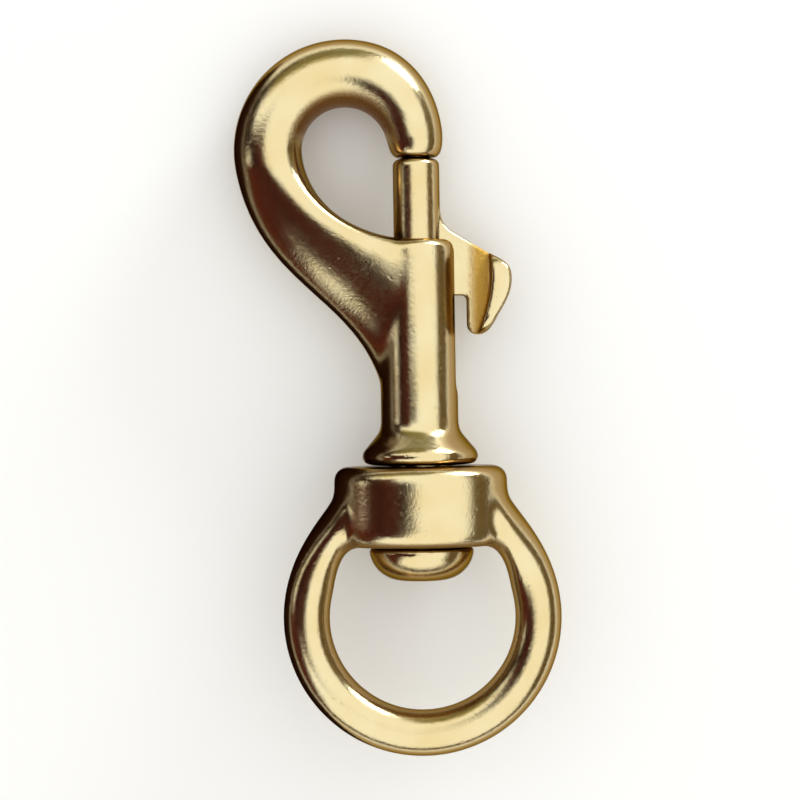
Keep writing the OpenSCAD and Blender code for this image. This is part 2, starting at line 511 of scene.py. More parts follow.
    @classmethod
    def smooth(cls, obj: bpy.types.Object, rounds: int, weights: np.ndarray | None = None) -> None:
        """Evens out a skin, all over or by a weight for each vertex.

        Args:
            obj: The skin.
            rounds: Smoothing rounds.
            weights: Share of the smoothing that each vertex gets.
        """
        group = ""
        if weights is not None:
            group = "blend"
            held = obj.vertex_groups.new(name=group)
            for i in np.flatnonzero(weights > cls.LEAST_WEIGHT):
                held.add([int(i)], float(weights[i]), "REPLACE")
        cls.apply(obj, "SMOOTH", factor=cls.SMOOTH_STEP, iterations=rounds, vertex_group=group)
        obj.vertex_groups.clear()

    @classmethod
    def skin(cls, obj: bpy.types.Object, grain: float, even: int) -> None:
        """Gives a solid one even skin, with its sharp edges eased.

        Args:
            obj: The solid.
            grain: Size of the skin's faces.
            even: Smoothing rounds all over.
        """
        cls.apply(obj, "REMESH", mode="VOXEL", voxel_size=grain, adaptivity=0, use_smooth_shade=True)
        cls.smooth(obj, even)

    @classmethod
    def fillet(cls, obj: bpy.types.Object, grain: float, rounds: int, spread: int) -> None:
        """Fills the hollows of a skin to the soft fillets of a casting.

        Args:
            obj: The skin.
            grain: Size of its faces.
            rounds: Smoothing rounds in the hollows.
            spread: Faces that a fillet reaches to each side.
        """
        place, normal = cls.points(obj)
        hollow = ((cls.mean(obj, place) - place) * normal).sum(axis=1)
        weights = np.clip(hollow / grain * cls.HOLLOW_GAIN - cls.HOLLOW_START, 0, 1)
        for _ in range(spread):
            weights = np.maximum(weights, cls.mean(obj, weights))
        cls.smooth(obj, rounds, np.clip(weights * cls.FILLET_LIFT, 0, 1))

    @staticmethod
    def mark(obj: bpy.types.Object, name: str, values: np.ndarray) -> None:
        """Stores a value for each vertex, which a finish reads."""
        layer = obj.data.attributes.new(name, "FLOAT", "POINT")
        layer.data.foreach_set("value", values.astype(np.float32))

    @staticmethod
    def hand_over(obj: bpy.types.Object, material: bpy.types.Material, body: Body, slot: Slot,
                  node: str) -> None:
        """Brings a piece to metres, dresses it and sets it in the frame in place of its node.

        Args:
            obj: The piece, in millimetres.
            material: Its finish.
            body: Body that it rides on.
            slot: Its slot in the record; not used.
            node: CAD node that it stands for.
        """
        Bench.pick(obj)
        obj.scale = (METRES,) * 3
        bpy.ops.object.transform_apply(location=True, rotation=True, scale=True)
        bpy.ops.object.shade_smooth_by_angle(angle=Bench.SHARP_EDGE)
        obj.select_set(False)
        obj.data.materials.clear()
        obj.data.materials.append(material)
        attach(obj, body.value)
        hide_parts(node)
        LOG.info("%s: %d faces on %s", obj.name, len(obj.data.polygons), body.value)


def smoothstep(values: np.ndarray, low: float, high: float) -> np.ndarray:
    """Soft step from 0 at low to 1 at high."""
    t = np.clip((values - low) / (high - low), 0, 1)
    return t * t * (3 - 2 * t)


def painted_side_shade(normal: np.ndarray) -> np.ndarray:
    """How far a surface gets painted side shade, from 0 where it faces up or down to nearly 1 where it faces
    sideways.
    """
    return SIDE_SHADE_MOST * (1 - smoothstep(np.abs(normal[:, 2]), *SIDE_SHADE_LEAN))


@dataclass(frozen=True)
class CastBrass:
    """Cast yellow brass, tumbled and buffed on a wheel.

    The eye gets clear but slightly wavering reflections with a fine orange-peel grain, small casting pits, and
    a rougher, deeper gold skin in the hollows that the wheel can't reach. Surfaces that face sideways get painted
    shade: a browner colour and a darker, tinted edge reflection. The peel of the real skin is finer than this one,
    which is drawn as coarse as it needs to show.
    """

    name: str
    bright: str = "#FAEEC4"
    warm: str = "#F0D89B"
    hollow: str = "#8F6430"
    # Colour and edge reflection tint of the painted side shade on sideways-facing surfaces.
    painted_side_shade: str = "#A88A5C"
    rim: str = "#9A8769"
    polish: float = 0.15
    wave_mm: float = 5.0
    peel_mm: float = 0.45
    pit_mm: float = 1.2
    wave_height_mm: float = 0.06
    peel_height_mm: float = 0.026
    pit_depth_mm: float = 0.014
    pit_edge: Span = (0.03, 0.16)
    peel_detail: float = 4.0
    peel_grit: float = 0.68
    peel_span: Span = (0.3, 0.75)
    dull_span: Span = (-0.04, 0.06)
    cast_rough: float = 0.22
    cast_lift: float = 8.0

    def build(self) -> bpy.types.Material:
        """Makes the material.

        Returns:
            The finished material.
        """
        mat, tree = bare(self.name)
        place = add(tree, "ShaderNodeTexCoord").outputs["Object"]
        cast = add(tree, "ShaderNodeAttribute", attribute_name="as_cast").outputs["Fac"]
        painted_side_shade = add(tree, "ShaderNodeAttribute", attribute_name="painted_side_shade").outputs["Fac"]
        wave = add(tree, "ShaderNodeTexNoise", {
            "Vector": place, "Scale": PER_METRE / self.wave_mm, "Detail": 1.0})
        peel = add(tree, "ShaderNodeTexNoise", {
            "Vector": place, "Scale": PER_METRE / self.peel_mm, "Detail": self.peel_detail,
            "Roughness": self.peel_grit})
        spots = add(tree, "ShaderNodeTexVoronoi", {"Vector": place, "Scale": PER_METRE / self.pit_mm})
        pit = add(tree, "ShaderNodeMapRange", {
            "Value": spots.outputs["Distance"], "From Min": self.pit_edge[0], "From Max": self.pit_edge[1],
            "To Min": 1.0, "To Max": 0.0})
        tone = add(tree, "ShaderNodeMix", {
            "Factor": wave.outputs["Fac"], "A": linear(self.bright), "B": linear(self.warm)}, data_type="RGBA")
        deep = add(tree, "ShaderNodeMix", {
            "Factor": cast, "A": tone.outputs["Result"], "B": linear(self.hollow)}, data_type="RGBA")
        # Painted side shade: surfaces that face sideways get a browner colour and a darker, tinted edge reflection.
        side = add(tree, "ShaderNodeMix", {
            "Factor": painted_side_shade, "A": deep.outputs["Result"], "B": linear(self.painted_side_shade)}, data_type="RGBA")
        edge = add(tree, "ShaderNodeMix", {
            "Factor": painted_side_shade, "A": linear(WHITE), "B": linear(self.rim)}, data_type="RGBA")
        dull = add(tree, "ShaderNodeMapRange", {
            "Value": peel.outputs["Fac"], "From Min": self.peel_span[0], "From Max": self.peel_span[1],
            "To Min": self.polish + self.dull_span[0], "To Max": self.polish + self.dull_span[1]})
        rough = add(tree, "ShaderNodeMath", {
            0: cast, 1: self.cast_rough, 2: dull.outputs["Result"]}, operation="MULTIPLY_ADD")
        lift = add(tree, "ShaderNodeMath", {0: cast, 1: self.cast_lift, 2: 1.0}, operation="MULTIPLY_ADD")
        height = add(tree, "ShaderNodeMath", {
            0: peel.outputs["Fac"], 1: lift.outputs["Value"]}, operation="MULTIPLY")
        ripple = add(tree, "ShaderNodeBump", {
            "Height": wave.outputs["Fac"], "Strength": 1.0, "Distance": self.wave_height_mm * METRES})
        skin = add(tree, "ShaderNodeBump", {
            "Height": height.outputs["Value"], "Strength": 1.0, "Distance": self.peel_height_mm * METRES,
            "Normal": ripple.outputs["Normal"]})
        hole = add(tree, "ShaderNodeBump", {
            "Height": pit.outputs["Result"], "Strength": 1.0, "Distance": -self.pit_depth_mm * METRES,
            "Normal": skin.outputs["Normal"]})
        shader = add(tree, "ShaderNodeBsdfPrincipled", {
            "Base Color": side.outputs["Result"], "Metallic": 1.0, "Roughness": rough.outputs["Value"],
            "Specular Tint": edge.outputs["Result"], "Normal": hole.outputs["Normal"]})
        add(tree, "ShaderNodeOutputMaterial", {"Surface": shader.outputs["BSDF"]})
        return mat


@dataclass(frozen=True)
class DrawnSteel:
    """Drawn spring steel wire: grey, with a fine mottle that stands in for its die lines."""

    name: str = "spring_steel_drawn_wire"
    colour: str = "#B9BBBC"
    shade: str = "#8E9092"
    line_mm: float = 0.12
    dull: Span = (0.25, 0.42)

    def build(self) -> bpy.types.Material:
        """Makes the material.

        Returns:
            The finished material.
        """
        mat, tree = bare(self.name)
        place = add(tree, "ShaderNodeTexCoord").outputs["Object"]
        lines = add(tree, "ShaderNodeTexNoise", {
            "Vector": place, "Scale": PER_METRE / self.line_mm, "Detail": 2.0})
        tone = add(tree, "ShaderNodeMix", {
            "Factor": lines.outputs["Fac"], "A": linear(self.colour), "B": linear(self.shade)}, data_type="RGBA")
        rough = add(tree, "ShaderNodeMapRange", {
            "Value": lines.outputs["Fac"], "To Min": self.dull[0], "To Max": self.dull[1]})
        shader = add(tree, "ShaderNodeBsdfPrincipled", {
            "Base Color": tone.outputs["Result"], "Metallic": 1.0, "Roughness": rough.outputs["Result"]})
        add(tree, "ShaderNodeOutputMaterial", {"Surface": shader.outputs["BSDF"]})
        return mat


@dataclass
class RingCasting:
    """Round eye with the bored boss that turns on the shank."""

    eye_r: float = 12.5
    rod_t: float = 6.3
    boss_w: float = 23.4
    boss_depth: float = 18.0
    boss_h: float = 10.8
    boss_drop: float = 2.9
    boss_round: float = 1.9
    boss_under_round: float = 1.8
    bore_r: float = 4.12
    shoulder_depth: float = 10.8
    shoulder_angle: float = 12.7
    outer_pull: float = 7.5
    inner_pull: float = 3.6
    eye_corner_in: float = 1.0
    eye_seat_in: float = 5.4
    eye_seat_up: float = 1.0
    waist_drop: float = 5.4
    shoulder_sink: float = 0.8
    shoulder_drop: float = 2.2
    sides: int = 64
    boss_sides: int = 96
    eye_steps: int = 96
    shoulder_steps: int = 20
    cutter_past: float = 2.0
    skin: SkinPlan = SkinPlan(grain=0.22, even=10, fillet_rounds=650, fillet_spread=20, last_grain=0.21, last_even=24)
    under_lean: Span = (0.5, 0.9)
    under_rise: Span = (7.0, 9.0)

    @property
    def boss_base(self) -> float:
        """Height of the boss's underside."""
        return self.eye_r - self.boss_drop

    @property
    def boss_top(self) -> float:
        """Height of the boss's upper face."""
        return self.boss_base + self.boss_h

    def eye(self, degrees: float) -> Station:
        """Section of the round eye.

        Args:
            degrees: Angle round the eye.

        Returns:
            The section.
        """
        centre = Vector((0, 0))
        return Station(polar(centre, self.eye_r, degrees), polar(centre, self.eye_r + self.rod_t, degrees),
                       self.rod_t / 2)

    def shoulder(self, t: float, side: int) -> Station:
        """Section of a shoulder, from the eye at 0 to inside the boss at 1.

        Args:
            t: Place on the shoulder.
            side: 1 for the right shoulder, -1 for the left.

        Returns:
            The section.
        """
        start, up = self.eye(self.shoulder_angle), heading(self.shoulder_angle)
        half, top = self.boss_w / 2, self.boss_top
        inner = bezier([start.inner, start.inner + self.inner_pull * up,
                        Vector((self.eye_r - self.eye_corner_in, self.boss_base)),
                        Vector((half - self.eye_seat_in, self.boss_base + self.eye_seat_up))], t)
        outer = bezier([start.outer, start.outer + self.outer_pull * up,
                        Vector((half, top - self.waist_drop)),
                        Vector((half - self.shoulder_sink, top - self.shoulder_drop))], t)
        flip = Vector((side, 1))
        return Station(inner * flip, outer * flip, mix(self.rod_t, self.shoulder_depth, ease(t)) / 2)

    def build(self) -> bpy.types.Object:
        """Models the casting.

        Returns:
            The finished mesh, in millimetres.
        """
        a, plan = self.shoulder_angle, self.skin
        steps = [(i + 1) / self.shoulder_steps for i in range(self.shoulder_steps)]
        stations = [self.shoulder(t, -1) for t in reversed(steps)]
        stations += [self.eye(mix(-180 - a, a, i / self.eye_steps)) for i in range(self.eye_steps + 1)]
        stations += [self.shoulder(t, 1) for t in steps]
        ring = Bench.sweep("swivel_ring_cast", stations, self.sides)
        half = self.boss_w / 2
        profile = arc((half - self.boss_under_round, self.boss_base + self.boss_under_round),
                      self.boss_under_round, -90, 0)
        profile += arc((half - self.boss_round, self.boss_top - self.boss_round), self.boss_round, 0, 90)
        inset = (self.boss_w - self.boss_depth) / 2
        ovals = [Station(Vector((-p.x, p.y)), p, p.x - inset) for p in profile]
        Bench.join(ring, Bench.sweep("boss", ovals, self.boss_sides), Join.ADD)
        Bench.skin(ring, plan.grain, plan.even)
        Bench.fillet(ring, plan.grain, plan.fillet_rounds, plan.fillet_spread)
        low, high = self.boss_base - self.cutter_past, self.boss_top + self.cutter_past
        Bench.join(ring, Bench.rod("bore", self.bore_r, low, high), Join.CUT)
        Bench.skin(ring, plan.last_grain, plan.last_even)
        Bench.join(ring, Bench.rod("reamer", self.bore_r, low, high), Join.CUT)
        return ring

    def dress(self, obj: bpy.types.Object) -> None:
        """Marks the painted side shade on sideways-facing surfaces, and the boss's underside, which stays as cast.

        Args:
            obj: The casting, in millimetres.
        """
        place, normal = Bench.points(obj)
        Bench.mark(obj, "painted_side_shade", painted_side_shade(normal))
        under = smoothstep(-normal[:, 1], *self.under_lean) * smoothstep(place[:, 1], *self.under_rise)
        Bench.mark(obj, "as_cast", under)


@dataclass
class HookCasting:
    """Bow, nose, slotted barrel, flange, shank and headed-over end, cast as one."""

    ring: RingCasting
    shank_r: float = 4.0
    end_play: float = 0.15
    head_r: float = 7.15
    head_h: float = 4.5
    flange_r: float = 7.9
    flange_round: float = 1.15
    neck_h: float = 5.5
    neck_slope: float = 41.0
    neck_round: float = 2.2
    barrel_r: float = 5.25
    mouth_round: float = 1.3
    floor_t: float = 5.0
    spring_l: float = 17.35
    bolt_hold: float = 8.0
    gate: float = 11.0
    bore_r: float = 3.27
    slot_w: float = 2.7
    slot_base: float = 32.15
    throat_r: float = 5.8
    bow_t: float = 9.2
    bow_depth: float = 9.0
    nose_d: float = 7.6
    nose_round: float = 1.2
    nose_taper: float = 3.0
    nose_run: float = 1.2
    seat_r: float = 1.95
    seat_h: float = 0.95
    bow_sweep: float = 190.0
    bow_full: float = 72.0
    throat_pull: float = 8.0
    saddle_pull: float = 6.5
    back_pull: float = 18.0
    root_pull: float = 17.5
    root_lean: float = 0.9
    root_fan: float = 2.4
    root_inset: float = 0.45
    bow_skew: float = 1.25
    root_skew: float = 2.4
    root_skew_gain: float = 1.6
    sides: int = 64
    stem_sides: int = 128
    head_steps: int = 24
    nose_steps: int = 10
    bow_steps: int = 64
    root_steps: int = 60
    cutter_past: float = 1.0
    room_past: float = 4.0
    skin: SkinPlan = SkinPlan(grain=0.24, even=12, fillet_rounds=700, fillet_spread=22, last_grain=0.25, last_even=24)
    throat_lean: Span = (0.45, 0.8)
    throat_rise: Span = (1.0, 4.0)
    throat_reach: Span = (2.0, 4.0)

    @property
    def flange_base(self) -> float:
        """Height of the flange's underside."""
        return self.ring.boss_top + self.end_play

    @property
    def neck_top(self) -> float:
        """Height where the plain barrel starts."""
        return self.flange_base + self.neck_h

    @property
    def bore_floor(self) -> float:
        """Height of the bore's floor."""
        return self.flange_base + self.floor_t

    @property
    def bolt_base(self) -> float:
        """Height of the shut bolt's lower end."""
        return self.bore_floor + self.spring_l

    @property
    def mouth(self) -> float:
        """Height of the barrel's mouth."""
        return self.bolt_base + self.bolt_hold

    @property
    def nose_end(self) -> float:
        """Height of the nose's end."""
        return self.mouth + self.gate

    @property
    def bow_centre(self) -> Vector:
        """Centre of the bow's inside."""
        return Vector((-self.throat_r - self.nose_d / 2, self.nose_end + self.nose_run))

    def narrow(self, s: float) -> float:
        """How far the nose is narrowed on each side, at a distance from its end."""
        t = max(1 - s / self.nose_taper, 0)
        return self.nose_round * (1 - math.sqrt(1 - t * t))

    def nose(self, t: float) -> Station:
        """Section of the nose.

        Args:
            t: Place on the nose, from its end at 0 to the bow at 1.

        Returns:
            The section.
        """
        s = self.nose_run * t * t
        half = self.nose_d / 2 - self.narrow(s)
        return Station(Vector((-half, self.nose_end + s)), Vector((half, self.nose_end + s)), half)

    def bow(self, degrees: float) -> Station:
        """Section of the bow.

        Args:
            degrees: Angle round the bow's centre, from the nose.

        Returns:
            The section.
        """
        part = ease(min(degrees / self.bow_full, 1))
        thick = mix(self.nose_d, self.bow_t, part)
        slim = self.narrow(self.nose_run + (self.throat_r + self.nose_d / 2) * math.radians(degrees))
        lean = ease(max(degrees - self.bow_full, 0) / (self.bow_sweep - self.bow_full))
        return Station(polar(self.bow_centre, self.throat_r + slim, degrees),
                       polar(self.bow_centre, self.throat_r + thick - slim, degrees),
                       mix(self.nose_d, self.bow_depth, part) / 2 - slim, mix(1, self.bow_skew, lean))

    def root(self, t: float) -> Station:
        """Section of the root.

        Args:
            t: Place on the root, from the bow at 0 to inside the barrel at 1.

        Returns:
            The section.
        """
        start, on = self.bow(self.bow_sweep), heading(self.bow_sweep)
        mouth, foot = Vector((0, self.mouth)), Vector((self.root_lean - self.barrel_r, self.neck_top))
        inner = bezier([start.inner, start.inner + self.throat_pull * on,
                        mouth - Vector((self.saddle_pull, 0)), mouth], t)
        outer = bezier([start.outer, start.outer + self.back_pull * on,
                        foot + Vector((-self.root_lean, self.root_pull)), foot], t**self.root_fan)
        return Station(inner, outer, mix(self.bow_depth / 2, self.barrel_r - self.root_inset, ease(t)),
                       mix(self.bow_skew, self.root_skew, ease(min(self.root_skew_gain * t, 1))))

    def stem(self) -> list[Vector]:
        """Profile of head, shank, flange, neck and barrel.

        Returns:
            Radius and height of each point, from the head's end to the mouth.
        """
        top = self.ring.boss_base - self.end_play
        return ([Vector((0, top - self.head_h))]
                + arc((self.head_r - self.head_h, top), self.head_h, -90, 0, self.head_steps)
                + [Vector((self.shank_r, top)), Vector((self.shank_r, self.flange_base))]
                + arc((self.flange_r - self.flange_round, self.flange_base + self.flange_round),
                      self.flange_round, -90, self.neck_slope)
                + arc((self.barrel_r + self.neck_round, self.neck_top), self.neck_round,
                      180 + self.neck_slope, 180)
                + arc((self.barrel_r - self.mouth_round, self.mouth - self.mouth_round), self.mouth_round, 0, 90)
                + [Vector((0, self.mouth))])

    def build(self) -> bpy.types.Object:
        """Models the casting.

        Returns:
            The finished mesh, in millimetres.
        """
        plan, past = self.skin, self.cutter_past
        stations = [self.nose(i / self.nose_steps) for i in range(self.nose_steps)]
        stations += [self.bow(self.bow_sweep * i / self.bow_steps) for i in range(self.bow_steps + 1)]
        stations += [self.root((i + 1) / self.root_steps) for i in range(self.root_steps)]
        hook = Bench.sweep("hook_cast", stations, self.sides)
        Bench.join(hook, Bench.turned("stem", self.stem(), self.stem_sides), Join.ADD)
        Bench.skin(hook, plan.grain, plan.even)
        Bench.fillet(hook, plan.grain, plan.fillet_rounds, plan.fillet_spread)
        Bench.join(hook, Bench.rod("bore", self.bore_r, self.bore_floor, self.mouth + past), Join.CUT)
        half = self.slot_w / 2
        Bench.join(hook, Bench.block("slot", (0, self.slot_base, -half),
                                     (self.barrel_r + past, self.mouth + past, half)), Join.CUT)
        end = Bench.rod("slot_end", half, 0, self.barrel_r + past)
        end.rotation_euler = (0, 0, -math.pi / 2)
        end.location = (0, self.slot_base, 0)
        Bench.join(hook, end, Join.CUT)
        Bench.join(hook, Bench.rod("seat", self.seat_r, self.nose_end - past, self.nose_end + self.seat_h), Join.CUT)
        Bench.skin(hook, plan.last_grain, plan.last_even)
        low, high = self.ring.boss_base - self.end_play, self.flange_base
        room = Bench.rod("swivel_room", self.flange_r + self.room_past, low, high)
        Bench.join(room, Bench.rod("shank", self.shank_r, low - past, high + past), Join.CUT)
        Bench.join(hook, room, Join.CUT)
        return hook

    def dress(self, obj: bpy.types.Object) -> None:
        """Marks the painted side shade on sideways-facing surfaces, and the inside of the bow, which stays as cast.

        Args:
            obj: The casting, in millimetres.
        """
        place, normal = Bench.points(obj)
        flat = place[:, :2] - np.array(self.bow_centre)
        far = np.linalg.norm(flat, axis=1)
        inward = -(flat * normal[:, :2]).sum(axis=1) / np.maximum(far, Bench.MERGE)
        throat = smoothstep(inward, *self.throat_lean)
        throat *= smoothstep(place[:, 1] - self.nose_end, *self.throat_rise)
        throat *= 1 - smoothstep(far - self.throat_r, *self.throat_reach)
        Bench.mark(obj, "as_cast", throat)
        Bench.mark(obj, "painted_side_shade", painted_side_shade(normal) * (1 - throat))


@dataclass
class BoltCasting:
    """Round bolt with its web and thumb pad, cast as one."""

    hook: HookCasting
    bolt_r: float = 3.15
    fit: float = 0.1
    tip_round: float = 0.9
    shoulder_turn: float = 80.0
    pilot_r: float = 1.8
    pilot_h: float = 0.8
    pilot_draft: float = 0.15
    seat_gap: float = 0.15
    web_t: float = 2.4
    web_h: float = 8.5
    web_rise: float = 0.4
    web_corner: float = 0.7
    web_blend: float = 1.7
    web_fillet: float = 3.4
    web_slope: float = 31.0
    reach: float = 12.6
    lug_drop: float = 5.3
    lug_gap: float = 1.3
    lug_round: float = 1.4
    pad_t: float = 3.0
    pad_depth: float = 8.4
    pad_round: float = 2.4
    pad_brim: float = 1.0
    crown_in: float = 1.4
    brow_drop: float = 2.4
    heel_in: float = 2.3
    heel_up: float = 1.8
    heel_turn: float = 62.0
    toe_turn: float = 70.0
    brim_turn: float = 97.0
    web_edge: float = 0.35
    bolt_sides: int = 96
    face_past: float = 1.0
    face_segments: int = 10
    skin: SkinPlan = SkinPlan(grain=0.12, even=10, fillet_rounds=30, fillet_spread=3)
    rim_rounds: int = 150
    rim_span: Span = (0.5, 1.5)
    rim_fade: Span = (0.0, 1.0)
    hollow_start: Span = (6.4, 8.2)
    hollow_end: Span = (9.4, 9.9)
    hollow_half: Span = (1.5, 2.0)

    @property
    def web_base(self) -> float:
        """Height of the web's lower edge."""
        return self.hook.bolt_base + self.web_rise

    @property
    def lug_x(self) -> float:
        """Inner side of the hanging lug."""
        return self.hook.barrel_r + self.lug_gap

    @property
    def blend(self) -> Point:
        """Start of the web's sloping upper edge."""
        return self.bolt_r + self.web_blend, self.web_h

    def slope(self, x: float) -> Point:
        """Point on the web's sloping upper edge."""
        return x, self.web_h - (x - self.blend[0]) * math.tan(math.radians(self.web_slope))

    def pad_edge(self) -> list[Vector]:
        """Outer edge of the thumb piece.

        Returns:
            Its points, from toe to crown.
        """
        crown = self.slope(self.reach - self.crown_in)
        brow = (self.reach, crown[1] - self.brow_drop)
        heel = (self.reach - self.heel_in, self.heel_up - self.lug_drop)
        toe = (self.lug_x + self.lug_round, -self.lug_drop)
        return (turn(toe, 0, heel, self.heel_turn) + turn(heel, self.heel_turn, brow, 90)
                + turn(brow, 90, crown, 180 - self.web_slope))

    def raised(self, outline: list[Vector]) -> list[Vector]:
        """Outline moved from the web's lower edge to its place."""
        return [p + Vector((0, self.web_base)) for p in outline]

    def build(self) -> bpy.types.Object:
        """Models the casting.

        Returns:
            The finished mesh, in millimetres.
        """
        base, top = self.hook.bolt_base, self.hook.nose_end - self.seat_gap
        plan, past = self.skin, self.face_past
        profile = ([Vector((0, base)), Vector((self.bolt_r - self.fit, base)),
                    Vector((self.bolt_r, base + self.fit))]
                   + arc((self.bolt_r - self.tip_round, top - self.tip_round), self.tip_round,
                         0, self.shoulder_turn)
                   + [Vector((self.pilot_r, top)), Vector((self.pilot_r - self.pilot_draft, top + self.pilot_h)),
                      Vector((0, top + self.pilot_h))])
        bolt = Bench.turned("latch_bolt_cast", profile, self.bolt_sides)
        toe = (self.lug_x + self.lug_round, -self.lug_drop)
        web = ([Vector((0, 0))]
               + turn((self.lug_x - self.web_corner, 0), 0, (self.lug_x, -self.web_corner), -90)
               + turn((self.lug_x, self.lug_round - self.lug_drop), -90, toe, 0) + self.pad_edge()
               + turn(self.blend, 180 - self.web_slope, (self.bolt_r, self.web_h + self.web_fillet), 90)
               + [Vector((0, self.web_h + self.web_fillet))])
        Bench.join(bolt, Bench.plate("web", self.raised(web), self.web_t, self.web_edge), Join.ADD)
        brim = self.slope(self.reach - self.pad_t)
        pad = self.pad_edge() + turn(brim, self.brim_turn + 180, toe, self.toe_turn + 180)
        thumb = Bench.plate("pad", self.raised(pad), self.pad_depth, 0)
        low = self.web_base - self.lug_drop
        high = self.web_base + self.slope(self.reach - self.crown_in)[1] + self.pad_brim
        face = Bench.block("face", (self.lug_x - past, low, -self.pad_depth / 2),
                           (self.reach + past, high, self.pad_depth / 2))
        self.round_face(face)
        Bench.join(thumb, face, Join.KEEP)
        Bench.join(bolt, thumb, Join.ADD)
        Bench.skin(bolt, plan.grain, plan.even)
        Bench.fillet(bolt, plan.grain, plan.fillet_rounds, plan.fillet_spread)
        place = Bench.points(bolt)[0]
        rim = smoothstep(np.abs(place[:, 2]) - self.web_t / 2, *self.rim_span)
        Bench.smooth(bolt, self.rim_rounds, rim * smoothstep(place[:, 0] - self.lug_x, *self.rim_fade))
        return bolt

    def round_face(self, face: bpy.types.Object) -> None:
        """Rounds the four corners of the pad's face.

        Args:
            face: The block that the pad is cut to.
        """
        bpy.context.view_layer.objects.active = face
        bpy.ops.object.mode_set(mode="EDIT")
        bpy.ops.mesh.select_mode(type="EDGE")
        bpy.ops.mesh.select_all(action="DESELECT")
        bpy.ops.object.mode_set(mode="OBJECT")
        for edge in face.data.edges:
            a, b = (face.data.vertices[i].co for i in edge.vertices)
            edge.select = abs(a.x - b.x) > self.face_past
        bpy.ops.object.mode_set(mode="EDIT")
        bpy.ops.mesh.bevel(offset=self.pad_round, segments=self.face_segments, affect="EDGES")
        bpy.ops.object.mode_set(mode="OBJECT")

    def dress(self, obj: bpy.types.Object) -> None:
        """Marks the painted side shade on sideways-facing surfaces, and the hollow beside the pad, which stays as
        cast.

        Args:
            obj: The casting, in millimetres.
        """
        place, normal = Bench.points(obj)
        inside = smoothstep(place[:, 0], *self.hollow_start) * (1 - smoothstep(place[:, 0], *self.hollow_end))
        inside *= 1 - smoothstep(np.abs(place[:, 2]), *self.hollow_half)
        Bench.mark(obj, "as_cast", inside)
        Bench.mark(obj, "painted_side_shade", painted_side_shade(normal) * (1 - inside))


@dataclass
class BoltSpring:
    """Wire compression spring under the bolt, with closed ends."""

    hook: HookCasting
    wire_d: float = 0.7
    fit: float = 0.57
    turns: int = 8
    closed_gap: float = 0.035
    steps: int = 28
    wire_rounding: int = 4

    def rise(self, n: float) -> float:
        """Height of the wire's centre above the bore's floor.

        Args:
            n: Turns from the lower end.

        Returns:
            The height.
        """
        closed = self.wire_d + self.closed_gap
        free = self.turns - 2
        pitch = (self.hook.spring_l - self.wire_d - 2 * closed) / free
        return (self.wire_d / 2 + closed * (min(n, 1) + max(n - 1 - free, 0))
                + pitch * min(max(n - 1, 0), free))

    def build(self) -> bpy.types.Object:
        """Draws the wire out along its helix.

        Returns:
            The finished mesh, in millimetres.
        """
        radius = self.hook.bore_r - self.fit - self.wire_d / 2
        curve = bpy.data.curves.new("bolt_spring_wire", "CURVE")
        curve.dimensions = "3D"
        curve.bevel_depth = self.wire_d / 2
        curve.bevel_resolution = self.wire_rounding
        curve.use_fill_caps = True
        line = curve.splines.new("POLY")
        count = self.turns * self.steps
        line.points.add(count)
        for i, point in enumerate(line.points):
            a = 2 * math.pi * i / self.steps
            y = self.hook.bore_floor + self.rise(i / self.steps)
            point.co = (radius * math.cos(a), y, radius * math.sin(a), 1)
        obj = bpy.data.objects.new("bolt_spring_wire", curve)
        bpy.context.collection.objects.link(obj)
        Bench.pick(obj)
        bpy.ops.object.convert(target="MESH")
        return bpy.context.object

    @property
    def keep(self) -> float:
        """Share of its length that the spring keeps when the bolt is drawn."""
        return (self.hook.spring_l - self.hook.gate) / self.hook.spring_l


@dataclass(frozen=True)
class Card:
    """Plain card beside the snap that only reflections meet, with its corners in metres."""

    name: str
    code: str
    corners: tuple[Place, ...]
    # Colour of the painted shade in the card's soft folds, if it has any.
    fold: str = ""

    @classmethod
    def level(cls, name: str, code: str, height: float, outline: tuple[Point, ...], fold: str = "") -> "Card":
        """Card that hangs level at a height."""
        return cls(name, code, tuple((x, y, height) for x, y in outline), fold)

    @classmethod
    def upright(cls, name: str, code: str, x: float, run: Span, rise: Span) -> "Card":
        """Card that stands square to the X axis."""
        (a, b), (low, high) = run, rise
        return cls(name, code, ((x, a, low), (x, b, low), (x, b, high), (x, a, high)))


# Dark cloth colour, and the colour of the painted shade in its folds.
DARK_CLOTH, FOLD_SHADE = "#4A190E", "#0F0604"

# Broad shapes for the brass to reflect: folded dark cloth above the left side, low dim sides and a hazy far side.
ROUND_THE_TABLE = (
    Card.level("cloth_card", DARK_CLOTH, 0.2, (
        (-0.020, 0.012), (-0.036, 0.034), (-0.098, 0.044), (-0.098, 0.112), (-0.420, 0.190),
        (-0.420, -0.420), (-0.160, -0.060), (-0.090, -0.018), (-0.020, -0.006)), FOLD_SHADE),
    Card.level("near_cloth_card", DARK_CLOTH, 0.1, (
        (-0.014, 0.018), (-0.016, 0.032), (-0.060, 0.036), (-0.110, 0.010), (-0.084, -0.034),
        (-0.040, -0.030)), FOLD_SHADE),
    Card.upright("low_left_card", DARK_CLOTH, -0.45, (-0.45, 0.02), (0.07, 0.25)),
    Card.upright("upper_left_card", "#2B1D12", -0.45, (0.09, 0.5), (0.05, 0.25)),
    Card.upright("low_right_card", "#5C4C30", 0.5, (-0.5, 0.6), (0.06, 0.34)),
    Card("low_far_card", "#7A7350", ((-0.6, 0.6, 0.08), (0.15, 0.6, 0.08), (0.1, 0.6, 0.38), (-0.6, 0.6, 0.42))),
    Card("far_haze_card", "#B5A878", ((-0.7, 0.6, 0.42), (0.1, 0.6, 0.38), (0.0, 0.6, 0.48), (-0.7, 0.6, 0.58))),
)


